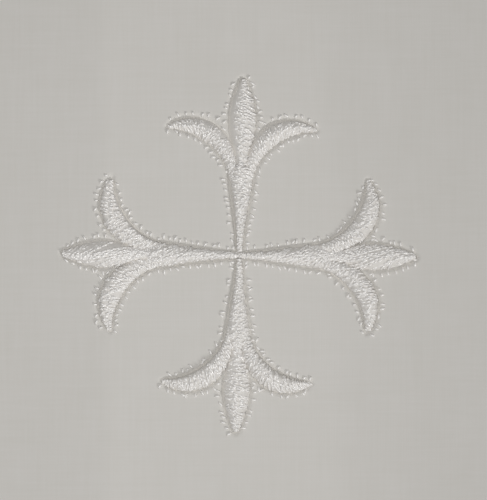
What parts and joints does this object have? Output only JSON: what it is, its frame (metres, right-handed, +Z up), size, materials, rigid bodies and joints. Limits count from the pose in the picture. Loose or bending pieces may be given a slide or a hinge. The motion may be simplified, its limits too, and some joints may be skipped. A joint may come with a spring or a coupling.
{
  "type": "altar cloth",
  "caption": "Small hemmed square of fine white altar linen lying in two low soft folds, with a cross fleury at its middle in raised white satin stitch.",
  "frame": {"origin": "middle of the cloth's underside, on the surface it lies on", "axes": "+Z up out of the face with the cross, +Y towards the head of the cross, +X to its right"},
  "size_m": [0.16, 0.16, 0.0063],
  "materials": {
    "linen": "fine plain-woven white linen, matt",
    "satin_thread": "white two-ply embroidery thread in padded satin stitch, soft sheen"
  },
  "bodies": {
    "root": {"cloth": "linen", "crossbar": "satin_thread", "upper_stem": "satin_thread", "lower_stem": "satin_thread", "right_bud": "satin_thread", "right_petal_upper": "satin_thread", "right_petal_lower": "satin_thread", "upper_bud": "satin_thread", "upper_petal_left": "satin_thread", "upper_petal_right": "satin_thread", "left_bud": "satin_thread", "left_petal_lower": "satin_thread", "left_petal_upper": "satin_thread", "lower_bud": "satin_thread", "lower_petal_right": "satin_thread", "lower_petal_left": "satin_thread"}
  },
  "joints": []
}
